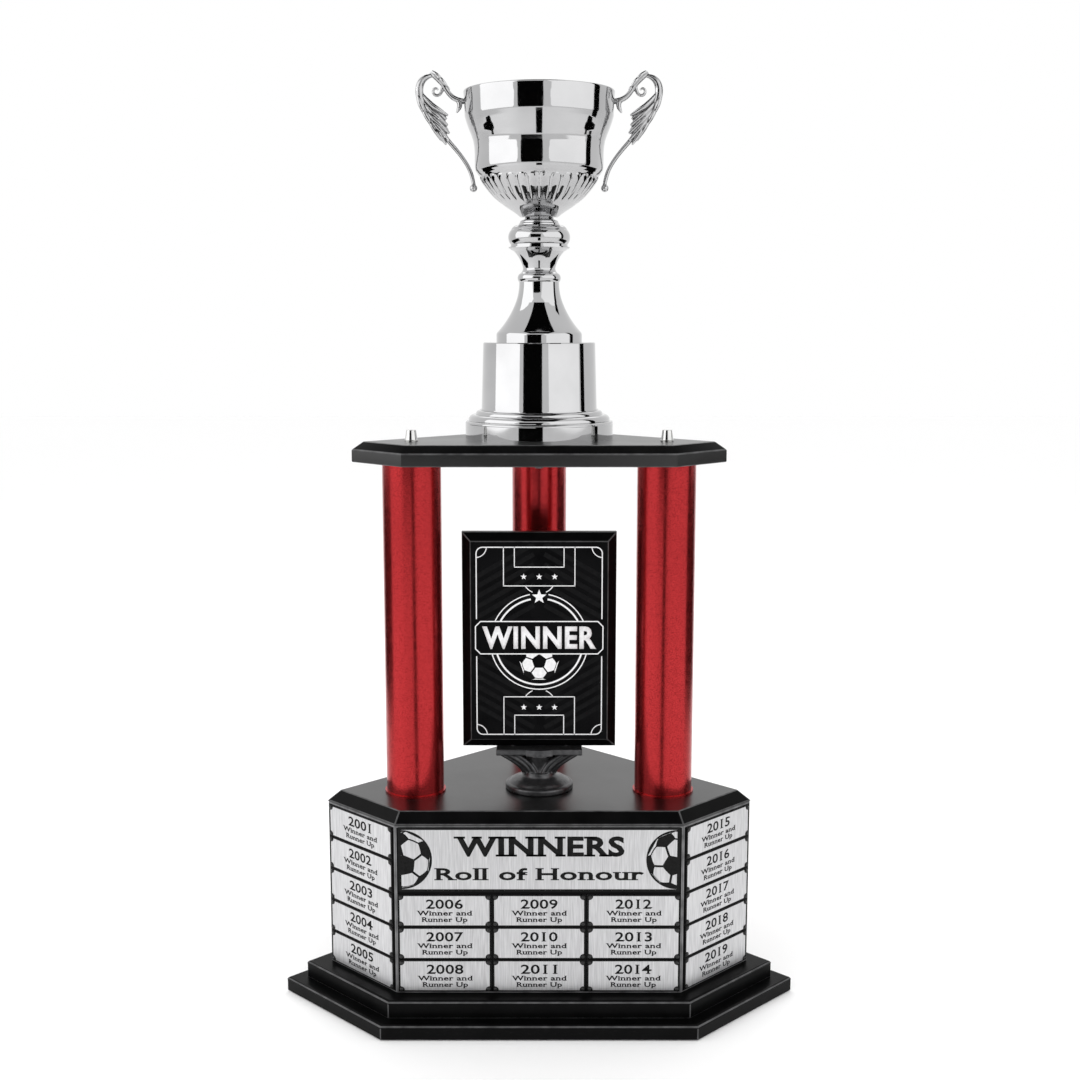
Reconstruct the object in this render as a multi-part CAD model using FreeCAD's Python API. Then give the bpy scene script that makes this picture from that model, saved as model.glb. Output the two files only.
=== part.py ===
"""Perpetual cup trophy: a five-sided box base, three columns, a top board and a two-handled cup.

Frame: +Z up, +X to the right seen from the front, the front face looks along -Y.
The origin is on the resting surface, under the middle of the whole outline. Millimetres.
"""
import FreeCAD
import Part
import math
import os

Vector = FreeCAD.Vector
up = Vector(0, 0, 1)

# Driving sizes. Every board is the same outline: a square with its front corner cut off.
square_side = 224.0          # side of the base block's square, before the corner is cut
front_width = 206.0          # width of the base block's front face
lower_overhang = 24.0        # lower plinth beyond the block, all round
upper_overhang = 13.0        # upper plinth beyond the block
top_inset = 16.0             # top board inside the block's outline
felt_t = 0.6
lower_plinth_t = 11.0
upper_plinth_t = 13.0
block_height = 135.0         # wall panels and base top together
base_top_t = 9.0
wall_t = 12.0
column_length = 246.0
column_r = 21.3
column_wall = 1.5
top_board_t = 15.0
cup_height = 250.0           # cup from its foot to its rim
cup_back = 92.5              # cup axis behind the block's front face
stand_back = 63.0            # plaque stand's axis behind the block's front face
side_column_inset = 46.6     # side columns' axes inside the two nearest block faces
rear_column_inset = 42.0
rod_r = 3.0                  # 6 mm threaded rod, drawn at its outer size
rod_hole_r = 3.3

# Plates
plate_t = 0.8
plate_w = 66.9
plate_h = 23.8
plate_pitch_x = 68.0
plate_pitch_z = 24.7
side_plate_w = 72.5
plates_bottom = 26.4         # lowest plate edge above the floor
header_w = 201.5
header_h = 47.8
header_bottom = 102.1
pin_r = 1.3
pin_depth = 4.0
pin_inset = 1.9              # pin centres inside the plate edges

# Plaque
plaque_w = 114.0
plaque_h = 162.0
plaque_t = 12.0
plaque_bevel_w = 6.5
plaque_bevel_d = 5.0
face_t = 1.0
stand_height = 32.0

# Worked out from the above
half_diagonal = square_side / math.sqrt(2)
side_corner_back = half_diagonal - front_width / 2
outline_front = -lower_overhang
outline_rear = side_corner_back + half_diagonal + lower_overhang * math.sqrt(2)
front_y = -(outline_front + outline_rear) / 2
rear_y = front_y + side_corner_back + half_diagonal
lower_top = felt_t + lower_plinth_t
block_bottom = lower_top + upper_plinth_t
block_top = block_bottom + block_height
wall_top = block_top - base_top_t
board_bottom = block_top + column_length
board_top = board_bottom + top_board_t
cup_y = front_y + cup_back
stand_y = front_y + stand_back
side_column_x = half_diagonal - side_column_inset * math.sqrt(2)
column_centres = [
    Vector(-side_column_x, front_y + side_corner_back, 0),
    Vector(side_column_x, front_y + side_corner_back, 0),
    Vector(0, rear_y - rear_column_inset * math.sqrt(2), 0),
]


def plan_corners(offset, z):
    """Corners of the board outline, grown outwards by offset, anticlockwise from front left."""
    front_half = front_width / 2 + offset * math.tan(math.pi / 8)
    reach = half_diagonal + offset * math.sqrt(2)
    centre_y = front_y + side_corner_back
    return [
        Vector(-front_half, front_y - offset, z),
        Vector(front_half, front_y - offset, z),
        Vector(reach, centre_y, z),
        Vector(0, centre_y + reach, z),
        Vector(-reach, centre_y, z),
    ]


def closed_wire(points):
    return Part.makePolygon(points + [points[0]])


def prism(points, height):
    return Part.Face(closed_wire(points)).extrude(up * height)


def board(offset, bottom, thickness):
    return prism(plan_corners(offset, bottom), thickness)


def bevelled_board(offset, bottom, thickness, bevel_in, bevel_down):
    """A board whose upper edge slopes in by bevel_in over its top bevel_down."""
    shoulder = bottom + thickness - bevel_down
    lower = board(offset, bottom, thickness - bevel_down)
    rings = [
        closed_wire(plan_corners(offset, shoulder)),
        closed_wire(plan_corners(offset - bevel_in, shoulder + bevel_down)),
    ]
    return lower.fuse(Part.makeLoft(rings, True, True)).removeSplitter()


def cylinder(radius, height, base, axis=up):
    return Part.makeCylinder(radius, height, base, axis)


def ring(outer_r, inner_r, height, base):
    return cylinder(outer_r, height, base).cut(cylinder(inner_r, height, base))


def hexagon(across_flats, height, base):
    corner_r = across_flats / math.sqrt(3)
    points = []
    for step in range(6):
        angle = step * math.pi / 3
        points.append(base + Vector(corner_r * math.cos(angle), corner_r * math.sin(angle), 0))
    return prism(points, height)


def nut(height, base, across_flats=10.0):
    return hexagon(across_flats, height, base).cut(cylinder(rod_r, height, base))


def turned(start, steps, centre):
    """Solid of revolution about the vertical through centre. A profile starts at (r, z);
    a step (r, z) is a straight run, and (r1, z1, r, z) an arc through (r1, z1)."""
    edges = []
    here = Vector(start[0], 0, start[1])
    first = here
    for step in steps:
        there = Vector(step[-2], 0, step[-1])
        if len(step) == 4:
            edges.append(Part.Arc(here, Vector(step[0], 0, step[1]), there).toShape())
        else:
            edges.append(Part.LineSegment(here, there).toShape())
        here = there
    if (here - first).Length > 1e-6:
        edges.append(Part.LineSegment(here, first).toShape())
    solid = Part.Face(Part.Wire(edges)).revolve(Vector(0, 0, 0), up, 360)
    solid.translate(centre)
    return solid


def drilled(shape, radius, centres, bottom, depth):
    for centre in centres:
        shape = shape.cut(cylinder(radius, depth, Vector(centre.x, centre.y, bottom)))
    return shape


def save(name, shapes):
    shape = shapes if isinstance(shapes, Part.Shape) else Part.makeCompound(shapes)
    for solid in shape.Solids:
        if not solid.isValid():
            raise ValueError(name + " holds a solid that is not valid")
    shape.exportStep("parts/" + name + ".step")
    print("%-24s %2d solid(s)  %9.2f cm3" % (name, len(shape.Solids), shape.Volume / 1000))


# Base: felt, two plinth boards, five mitred walls with glue blocks, and the top with its bevel

counterbore_r = 9.0
counterbore_depth = 7.4
plinth_round = 2.5


def rounded_plinth(offset, bottom, thickness):
    shape = board(offset, bottom, thickness)
    top_edges = []
    for edge in shape.Edges:
        if min(vertex.Point.z for vertex in edge.Vertexes) > bottom + thickness - 0.01:
            top_edges.append(edge)
    return shape.makeFillet(plinth_round, top_edges)


def build_plinths():
    save("base_felt", board(lower_overhang - 4.0, 0, felt_t))
    lower = rounded_plinth(lower_overhang, felt_t, lower_plinth_t)
    lower = drilled(lower, counterbore_r, column_centres, felt_t, counterbore_depth)
    save("lower_plinth", drilled(lower, rod_hole_r, column_centres, felt_t, lower_plinth_t))
    upper = rounded_plinth(upper_overhang, lower_top, upper_plinth_t)
    save("upper_plinth", drilled(upper, rod_hole_r, column_centres, lower_top, upper_plinth_t))


def build_walls(pins):
    """Five mitred walls, each drilled for the pins that are pressed into it."""
    outer = plan_corners(0, block_bottom)
    inner = plan_corners(-wall_t, block_bottom)
    names = ["front_panel", "right_side_panel", "right_back_panel", "left_back_panel", "left_side_panel"]
    height = wall_top - block_bottom
    for index, name in enumerate(names):
        after = (index + 1) % 5
        wall = prism([outer[index], outer[after], inner[after], inner[index]], height)
        if name in pins:
            wall = wall.cut(Part.makeCompound(pins[name]))
        save(name, wall)
    blocks = []
    leg = 18.0
    for index in range(5):
        corner = inner[index]
        before = (inner[index - 1] - corner).normalize() * leg
        after = (inner[(index + 1) % 5] - corner).normalize() * leg
        blocks.append(prism([corner, corner + after, corner + before], height))
    save("corner_blocks", blocks)


def build_base_top():
    stand_hole = [Vector(0, stand_y, 0)]
    top = bevelled_board(0, wall_top, base_top_t, 7.0, 8.0)
    top = drilled(top, rod_hole_r, column_centres, wall_top, base_top_t)
    save("base_top", drilled(top, 2.6, stand_hole, wall_top, base_top_t))


# Plates: a header and rows of year plates, each held by a pin in every corner

def face_frame(index):
    """Middle, along and outward directions of wall face number index, at floor level."""
    corners = plan_corners(0, 0)
    start = corners[index]
    end = corners[(index + 1) % 5]
    along = (end - start).normalize()
    outward = Vector(along.y, -along.x, 0)
    return (start + end) * 0.5, along, outward


def plate_on_face(frame, centre_along, bottom, width, height, thickness):
    middle, along, outward = frame
    left = middle + along * (centre_along - width / 2) + up * bottom
    points = [left, left + along * width, left + along * width + up * height, left + up * height]
    return Part.Face(closed_wire(points)).extrude(outward * thickness)


def pins_on_face(frame, places, width, height):
    """Four headed pins for each plate whose centre line and lower edge are in places."""
    middle, along, outward = frame
    pins = []
    for centre_along, bottom in places:
        for side in (-1, 1):
            for level in (pin_inset, height - pin_inset):
                foot = middle + along * (centre_along + side * (width / 2 - pin_inset))
                foot = foot + up * (bottom + level)
                shank = cylinder(0.6, pin_depth + plate_t, foot - outward * pin_depth, outward)
                head = Part.makeSphere(pin_r, foot, outward, 0, 90, 360)
                head.translate(outward * plate_t)
                pins.append(shank.fuse(head).removeSplitter())
    return pins


def build_plates():
    """The header and year plates. Returns the pins of each wall panel."""
    front = face_frame(0)
    save("header_plate", plate_on_face(front, 0, header_bottom, header_w, header_h, plate_t))
    front_places = []
    for column in (-1, 0, 1):
        for row in range(3):
            front_places.append((column * plate_pitch_x, plates_bottom + (2 - row) * plate_pitch_z))
    side_places = [(0, plates_bottom + (4 - row) * plate_pitch_z) for row in range(5)]
    pins_of_panel = {}
    number = 0
    for label, panel, frame, places, width in (
        ("left", "left_side_panel", face_frame(4), side_places, side_plate_w),
        ("front", "front_panel", front, front_places, plate_w),
        ("right", "right_side_panel", face_frame(1), side_places, side_plate_w),
    ):
        pins = pins_on_face(frame, places, width, plate_h)
        for centre_along, bottom in places:
            number += 1
            plate = plate_on_face(frame, centre_along, bottom, width, plate_h, plate_t)
            save("year_plate_%02d" % number, plate.cut(Part.makeCompound(pins)))
        save(label + "_plate_pins", pins)
        pins_of_panel[panel] = pins
    return pins_of_panel


# Columns: thin tubes on flanged rings, plugged at both ends, with a tie rod through each

ring_t = 1.4
ring_r = 22.6
plug_t = 10.0
washer_t = 1.5
washer_r = 8.0
nut_t = 5.0
tie_nut_top = felt_t + counterbore_depth - washer_t


def build_columns():
    inner_r = column_r - column_wall
    rings = []
    plugs = []
    rods = []
    cap_nuts = []
    for name, centre in zip(("left_column", "right_column", "rear_column"), column_centres):
        foot = centre + up * block_top
        top = centre + up * board_bottom
        save(name, ring(column_r, inner_r, column_length - ring_t, foot + up * ring_t))
        rings.append(ring(ring_r, rod_hole_r, ring_t, foot))
        plugs.append(ring(inner_r, rod_hole_r, plug_t, foot + up * ring_t))
        plugs.append(ring(inner_r, rod_hole_r, plug_t, top - up * plug_t))
        rod_bottom = centre + up * (tie_nut_top - nut_t - 0.6)
        rods.append(cylinder(rod_r, board_top + 6.0 - rod_bottom.z, rod_bottom))
        cap_nuts.append(build_cap_nut(centre + up * board_top))
    save("column_rings", rings)
    save("column_plugs", plugs)
    save("tie_rods", rods)
    save("cap_nuts", cap_nuts)


def build_cap_nut(base):
    """A small tapered dress nut with a thin flange and a blind hole for the rod."""
    steps = [(4.9, 1.0), (4.7, 1.1, 4.5, 1.4), (3.6, 7.9), (3.4, 8.3, 3.0, 8.4), (0, 8.4), (0, 6.0), (rod_r, 6.0),
             (rod_r, 0)]
    return turned((4.9, 0), steps, base)


def build_top_board():
    top = bevelled_board(-top_inset, board_bottom, top_board_t, 6.0, 5.8)
    centres = column_centres + [Vector(0, cup_y, 0)]
    save("top_board", drilled(top, rod_hole_r, centres, board_bottom, top_board_t))


# Cup: foot moulding, drum, stem, knob, collar and bowl on one rod. Heights are above the top board.

foot_r = 55.0
foot_top = 21.4
drum_top = 70.5
stem_top = 139.6
knob_top = 155.2
collar_top = 161.0
bowl_wall = 1.5
bowl_floor = 164.2
bore_r = 3.2


def cup_base():
    return Vector(0, cup_y, board_top)


def build_cup_lower():
    centre = cup_base()
    foot = turned((foot_r, 0), [
        (foot_r, 10.8), (54.6, 12.3, 53.2, 12.8), (52.6, 12.8), (51.9, 15.9, 48.8, 17.6), (47.2, 17.6),
        (46.6, 19.6, 44.8, 20.6), (44.0, 20.8), (43.9, foot_top), (bore_r, foot_top), (bore_r, 18.8),
        (41.0, 18.8), (52.0, 10.0), (52.6, 0)], centre)
    save("cup_foot", foot)
    save("cup_foot_weight", turned((50.0, 0.8), [(50.0, 7.8), (bore_r, 7.8), (bore_r, 0.8)], centre))
    drum = turned((42.9, foot_top), [
        (41.5, drum_top - 0.6), (40.9, drum_top), (bore_r, drum_top), (bore_r, drum_top - 1.6),
        (39.9, drum_top - 1.6), (41.3, foot_top)], centre)
    save("cup_drum", drum)


def build_cup_stem():
    centre = cup_base()
    outer = [
        (31.7, 76.0), (31.4, 77.2, 30.4, 78.6), (22.4, 89.3, 17.4, 99.5), (15.4, 106.5, 14.7, 114.4),
        (15.9, 117.3, 14.6, 120.4), (12.6, 122.2, 11.9, 124.4), (14.0, 130.4, 18.4, 136.6), (22.5, stem_top - 0.6),
        (22.5, stem_top)]
    inner = [(bore_r, stem_top), (bore_r, 118.0), (9.0, 118.0), (12.0, 104.0), (27.5, 74.5), (29.5, drum_top)]
    save("cup_stem", turned((31.7, drum_top), outer + inner, centre))
    knob = turned((21.0, stem_top), [
        (20.9, 141.6), (22.7, 147.6, 20.6, 152.2), (19.0, 154.4, 17.4, knob_top), (bore_r, knob_top),
        (bore_r, stem_top)], centre)
    save("cup_knob", knob)
    collar = turned((15.0, knob_top), [
        (15.0, 156.4), (14.2, 157.0), (13.9, 158.2, 12.8, 159.0), (10.8, 159.6), (10.4, collar_top),
        (bore_r, collar_top), (bore_r, knob_top)], centre)
    save("cup_collar", collar)


# Outside of the bowl from its boss to its rim
bowl_outside = [
    (14.4, 161.2), (21.0, 165.6), (31.0, 171.6, 38.4, 180.4), (42.6, 186.4, 44.9, 192.0), (46.7, 194.6, 46.9, 197.8),
    (46.9, 206.0), (47.4, 213.6, 49.2, 219.0), (52.4, 225.6, 54.0, 232.0), (54.4, 241.0, 54.9, cup_height)]


def bowl_shell():
    centre = cup_base()
    rim_in = foot_r - 0.1 - bowl_wall
    inner = [
        (rim_in, cup_height), (53.0, 241.0, 52.5, 232.4), (50.8, 225.9, 47.8, 219.5), (45.9, 213.7, 45.4, 206.0),
        (45.4, 197.8), (45.2, 195.2, 43.6, 192.8), (41.2, 187.2, 37.2, 181.4), (30.0, 172.8, 20.4, 167.2),
        (16.0, bowl_floor), (bore_r, bowl_floor), (bore_r, collar_top)]
    return turned((10.6, collar_top), bowl_outside + inner, centre)


def bowl_solid():
    """The bowl filled in, to trim what is fastened to its outside."""
    outline = bowl_outside + [(0, cup_height), (0, collar_top)]
    return turned((10.6, collar_top), outline, cup_base())


# Handle: a cast scroll, drawn for the right side as (distance from the cup's axis, height)

handle_t = 7.0
rivet_height = 242.6
handle_runs = [
    [(54.0, 244.4), (58.0, 244.3), (61.6, 245.8), (65.2, 249.6), (69.0, 257.0), (72.4, 261.6), (77.8, 264.9)],
    [(77.8, 264.9), (86.2, 260.0), (90.0, 249.4), (87.9, 239.6), (81.8, 227.8), (75.2, 220.6), (70.2, 212.8)],
    [(70.2, 212.8), (66.6, 213.4)],
    [(66.6, 213.4), (59.8, 206.7), (54.4, 199.8), (50.6, 192.4), (49.2, 183.0)],
    [(49.2, 183.0), (45.4, 183.0)],
    [(45.4, 183.0), (44.9, 190.4), (47.6, 198.2), (53.4, 206.2), (60.4, 213.4), (65.0, 218.6)],
    [(65.0, 218.6), (66.6, 222.2), (65.3, 225.3)],
    [(65.3, 225.3), (67.6, 228.0), (69.2, 230.8)],
    [(69.2, 230.8), (66.4, 232.6), (66.4, 235.6)],
    [(66.4, 235.6), (75.0, 239.2), (81.8, 244.8), (84.8, 251.0), (82.4, 255.8), (77.0, 257.6), (71.2, 254.6),
     (68.6, 249.6), (66.6, 245.2), (62.6, 243.0), (60.4, 239.6), (60.9, 235.2)],
    [(60.9, 235.2), (57.9, 236.8), (56.4, 240.4), (54.0, 241.0)],
    [(54.0, 241.0), (52.0, 241.0), (52.0, 244.4), (54.0, 244.4)],
]
curl_centre = (73.6, 250.0)
curl_r = 3.4
ball_centre = (47.9, 181.9)
ball_r = 2.8


def handle_run(points):
    corners = [Vector(r, 0, z) for r, z in points]
    if len(corners) == 2:
        return [Part.LineSegment(corners[0], corners[1]).toShape()]
    if corners == [Vector(r, 0, z) for r, z in handle_runs[-1]]:
        return [Part.LineSegment(a, b).toShape() for a, b in zip(corners, corners[1:])]
    curve = Part.BSplineCurve()
    curve.interpolate(corners)
    return [curve.toShape()]


def handle_blank():
    edges = []
    for run in handle_runs:
        edges.extend(handle_run(run))
    plate = Part.Face(Part.Wire(edges)).extrude(Vector(0, handle_t, 0))
    plate.translate(Vector(0, -handle_t / 2, 0))
    neck = Part.makeBox(5.0, handle_t - 2, 3.0, Vector(curl_centre[0] - 6.4, 1 - handle_t / 2, curl_centre[1] - 1.5))
    curl = cylinder(curl_r, handle_t - 2, Vector(curl_centre[0], 1 - handle_t / 2, curl_centre[1]), Vector(0, 1, 0))
    ball = Part.makeSphere(ball_r, Vector(ball_centre[0], 0, ball_centre[1]))
    return plate.fuse([neck, curl, ball]).removeSplitter()


def rivet(side):
    """Pan head inside the bowl and a shank through the wall into the handle."""
    axis = Vector(side, 0, 0)
    centre = cup_base() + up * rivet_height
    shank = cylinder(1.2, 7.5, centre + axis * 51.0, axis)
    head = cylinder(2.8, 2.4, centre + axis * 50.8, axis)
    return shank, head


def build_bowl_and_handles():
    shell = bowl_shell()
    envelope = bowl_solid()
    blank = handle_blank()
    rivets = []
    for side, name in ((-1, "left_handle"), (1, "right_handle")):
        handle = blank.copy()
        if side < 0:
            handle = handle.mirror(Vector(0, 0, 0), Vector(1, 0, 0))
        handle.translate(cup_base())
        shank, head = rivet(side)
        handle = handle.cut(envelope).cut(shank)
        save(name, max(handle.Solids, key=lambda solid: solid.Volume))
        shell = shell.cut(shank)
        rivets.append(shank.fuse(head.cut(shell)).removeSplitter())
    save("cup_bowl", shell)
    save("handle_rivets", rivets)


def build_cup_rod():
    """The cup's rod, and every hex nut and flat washer: under each tie rod and at the cup rod's ends."""
    axis = Vector(0, cup_y, 0)
    low = axis + up * (board_bottom - washer_t - nut_t)
    inside = axis + up * (board_top + bowl_floor)
    rod_length = inside.z + washer_t + nut_t + 1.5 - (low.z - 1.5)
    save("cup_rod", cylinder(rod_r, rod_length, low - up * 1.5))
    nuts = [nut(nut_t, low), nut(nut_t, inside + up * washer_t)]
    washers = [ring(washer_r, rod_r, washer_t, low + up * nut_t), ring(washer_r, rod_r, washer_t, inside)]
    for centre in column_centres:
        nuts.append(nut(nut_t, centre + up * (tie_nut_top - nut_t)))
        washers.append(ring(washer_r, rod_r, washer_t, centre + up * tie_nut_top))
    save("hex_nuts", nuts)
    save("flat_washers", washers)


# Plaque: bevelled board with a face panel, on a cast stand bolted to the base top

bracket_w = 64.0
bracket_d = 24.0
bracket_t = 4.6
stand_bolt_r = 2.5


def build_plaque():
    bottom = block_top + stand_height
    front = stand_y - plaque_t / 2
    back_part = Part.makeBox(plaque_w, plaque_t - plaque_bevel_d, plaque_h,
                             Vector(-plaque_w / 2, front + plaque_bevel_d, bottom))
    rings = []
    for inset, y in ((0, front + plaque_bevel_d), (plaque_bevel_w, front)):
        left = -plaque_w / 2 + inset
        low = bottom + inset
        high = bottom + plaque_h - inset
        rings.append(closed_wire([Vector(left, y, low), Vector(-left, y, low), Vector(-left, y, high),
                                  Vector(left, y, high)]))
    whole = back_part.fuse(Part.makeLoft(rings, True, True)).removeSplitter()
    screws = []
    for x in (-20.0, 20.0):
        head = Vector(x, stand_y, bottom - bracket_t - 1.6)
        screws.append(cylinder(3.2, 1.6, head).fuse(cylinder(1.6, 18.0, head)).removeSplitter())
    save("plaque_board", whole.cut(Part.makeCompound(screws)))
    save("plaque_screws", screws)
    margin = plaque_bevel_w + 0.3
    save("plaque_face", Part.makeBox(plaque_w - 2 * margin, face_t, plaque_h - 2 * margin,
                                     Vector(margin - plaque_w / 2, front - face_t, bottom + margin)))
    return screws


def build_stand(screws):
    centre = Vector(0, stand_y, block_top)
    foot = turned((0, 0), [
        (25.4, 0), (25.4, 3.4), (25.2, 4.3, 24.2, 4.6), (19.6, 7.4, 14.4, 8.4), (14.8, 9.3, 13.6, 10.6), (12.6, 12.0),
        (0, 12.0)], centre)
    flare_rings = []
    for half_x, half_y, z in ((12.2, 11.0, 10.8), (16.5, 11.2, 20.0), (25.0, 11.0, stand_height - bracket_t + 1)):
        ellipse = Part.Ellipse(centre + up * z, half_x, half_y)
        flare_rings.append(Part.Wire([ellipse.toShape()]))
    flare = Part.makeLoft(flare_rings, True, False)
    plate = Part.makeBox(bracket_w, bracket_d, bracket_t,
                         centre + Vector(-bracket_w / 2, -bracket_d / 2, stand_height - bracket_t))
    bulge = cylinder(30.0, bracket_t, centre + Vector(0, 15.4, stand_height - bracket_t))
    bulge = bulge.common(Part.makeBox(30.0, 40.0, 60.0, centre + Vector(-15.0, -30.0, 0)))
    stand = foot.fuse([flare, plate, bulge]).removeSplitter()
    shoulder = Vector(0, stand_y, wall_top)
    flange_t = 1.2
    head_t = 3.6
    bolt = cylinder(stand_bolt_r, base_top_t + 8.0, shoulder).fuse([
        cylinder(6.0, flange_t, shoulder - up * flange_t),
        hexagon(8.0, head_t, shoulder - up * (flange_t + head_t))])
    save("plaque_stand", stand.cut(bolt).cut(Part.makeCompound(screws)))
    save("stand_bolt", bolt.removeSplitter())


def main():
    os.makedirs("parts", exist_ok=True)
    build_plinths()
    build_walls(build_plates())
    build_base_top()
    build_columns()
    build_top_board()
    build_cup_lower()
    build_cup_stem()
    build_bowl_and_handles()
    build_cup_rod()
    build_stand(build_plaque())


main()
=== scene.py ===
import math

import bmesh
import bpy
from mathutils import Matrix, Vector


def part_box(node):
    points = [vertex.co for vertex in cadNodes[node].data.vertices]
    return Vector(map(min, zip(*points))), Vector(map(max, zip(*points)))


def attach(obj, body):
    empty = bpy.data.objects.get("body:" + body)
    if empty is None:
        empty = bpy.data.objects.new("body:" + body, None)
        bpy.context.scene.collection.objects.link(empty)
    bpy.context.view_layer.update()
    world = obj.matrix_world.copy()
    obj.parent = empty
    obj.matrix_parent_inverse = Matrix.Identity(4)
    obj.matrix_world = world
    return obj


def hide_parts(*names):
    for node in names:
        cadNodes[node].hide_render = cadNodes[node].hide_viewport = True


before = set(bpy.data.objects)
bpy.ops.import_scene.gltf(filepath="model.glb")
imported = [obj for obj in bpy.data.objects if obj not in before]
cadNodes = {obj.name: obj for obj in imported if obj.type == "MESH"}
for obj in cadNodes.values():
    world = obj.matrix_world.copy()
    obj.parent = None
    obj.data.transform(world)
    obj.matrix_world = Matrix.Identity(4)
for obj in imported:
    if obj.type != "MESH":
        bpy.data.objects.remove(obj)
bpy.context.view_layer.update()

scene = bpy.context.scene
mm = 0.001
fullTurn = 2 * math.pi
print("frame loaded,", len(cadNodes), "nodes")

# camera, floor and light

view = {"place": (0.0006, -1.1094, 0.5044), "down": 8.42, "lens": 48.594}

cameraData = bpy.data.cameras.new("camera")
cameraData.lens = view["lens"]
cameraData.sensor_width = 36.0
camera = bpy.data.objects.new("camera", cameraData)
camera.location = view["place"]
camera.rotation_euler = (math.radians(90 - view["down"]), 0, 0)
scene.collection.objects.link(camera)
scene.camera = camera
scene.view_settings.view_transform = "Standard"

studio = {
    "lamps": {
        "leftSoftbox": {"place": (-1.52, -0.62, 1.0), "size": (2.0, 1.5), "power": 10.5},
        "rightSoftbox": {"place": (1.32, -1.00, 1.0), "size": (2.5, 1.5), "power": 7.2},
        "topSoftbox": {"place": (0.0, 0.95, 1.7), "size": (1.6, 1.2), "power": 5.0},
    },
    "aim": (0.0, 0.0, 0.42),
    "cards": {
        "frontCard": {"place": (-0.40, -1.76, 0.72), "size": (1.24, 1.05)},
        "lowCard": {"place": (0.0, -0.62, 0.175), "size": (0.12, 0.42)},
        "rightCard": {"place": (1.2, 0.10, 0.80), "size": (0.26, 1.2)},
        "leftSideCard": {"place": (-0.875, 0.30, 0.16), "size": (0.90, 0.32)},
        "rightSideCard": {"place": (0.875, 0.30, 0.16), "size": (0.90, 0.32)},
        "ceilingCard": {"place": (0.0, -0.35, 1.70), "size": (1.1, 1.5)},
    },
    "sky": 1.0,
    "floor": {"size": 14, "shade": (1.0, 1.0, 1.0, 1), "roughness": 0.6},
    "cardShade": (0.002, 0.002, 0.002, 1),
}


def meshData(mesh, name):
    data = bpy.data.meshes.new(name)
    mesh.to_mesh(data)
    mesh.free()
    return data


def aimAt(thing, target):
    away = thing.location - Vector(target)
    thing.rotation_euler = away.to_track_quat("Z", "Y").to_euler()


def addLamp(name, values):
    data = bpy.data.lights.new(name, "AREA")
    data.shape = "RECTANGLE"
    data.size, data.size_y = values["size"]
    data.energy = values["power"]
    lamp = bpy.data.objects.new(name, data)
    lamp.location = values["place"]
    aimAt(lamp, studio["aim"])
    scene.collection.objects.link(lamp)


def plainMaterial(name, colour, roughness, specular=0.5):
    material = bpy.data.materials.new(name)
    material.use_nodes = True
    shader = material.node_tree.nodes["Principled BSDF"]
    shader.inputs["Base Color"].default_value = colour
    shader.inputs["Roughness"].default_value = roughness
    shader.inputs["Specular IOR Level"].default_value = specular
    return material


def stagePanel(name, width, depth, matrix, material):
    mesh = bmesh.new()
    bmesh.ops.create_grid(mesh, x_segments=1, y_segments=1, size=0.5)
    bmesh.ops.scale(mesh, vec=(width, depth, 1), verts=mesh.verts)
    bmesh.ops.transform(mesh, matrix=matrix, verts=mesh.verts)
    data = meshData(mesh, name)
    data.materials.append(material)
    panel = bpy.data.objects.new(name, data)
    scene.collection.objects.link(panel)
    return panel


def buildStudio():
    for name, values in studio["lamps"].items():
        addLamp(name, values)
    floor = studio["floor"]
    floorMaterial = plainMaterial("paleFloor", floor["shade"], floor["roughness"])
    stagePanel("floor", floor["size"], floor["size"], Matrix(), floorMaterial)
    cardMaterial = plainMaterial("blackCard", studio["cardShade"], 1.0, 0.0)
    for name, values in studio["cards"].items():
        place = Vector(values["place"])
        turn = (place - Vector(studio["aim"])).to_track_quat("Z", "Y").to_matrix().to_4x4()
        card = stagePanel(name, *values["size"], Matrix.Translation(place) @ turn, cardMaterial)
        # the cards are only there for the reflections
        card.visible_camera = False
        card.visible_diffuse = False
        card.visible_shadow = False
    world = bpy.data.worlds.new("studio")
    scene.world = world
    world.use_nodes = True
    sky = world.node_tree.nodes["Background"]
    sky.inputs["Color"].default_value = (1, 1, 1, 1)
    sky.inputs["Strength"].default_value = studio["sky"]


buildStudio()
print("studio set")

# shared shader groups


def newGroup(name, inputs, outputs):
    group = bpy.data.node_groups.new(name, "ShaderNodeTree")
    for label, kind, value in inputs:
        socket = group.interface.new_socket(name=label, in_out="INPUT", socket_type=kind)
        if value is not None:
            socket.default_value = value
    for label, kind in outputs:
        group.interface.new_socket(name=label, in_out="OUTPUT", socket_type=kind)
    start = group.nodes.new("NodeGroupInput")
    end = group.nodes.new("NodeGroupOutput")
    return group, start, end


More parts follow.
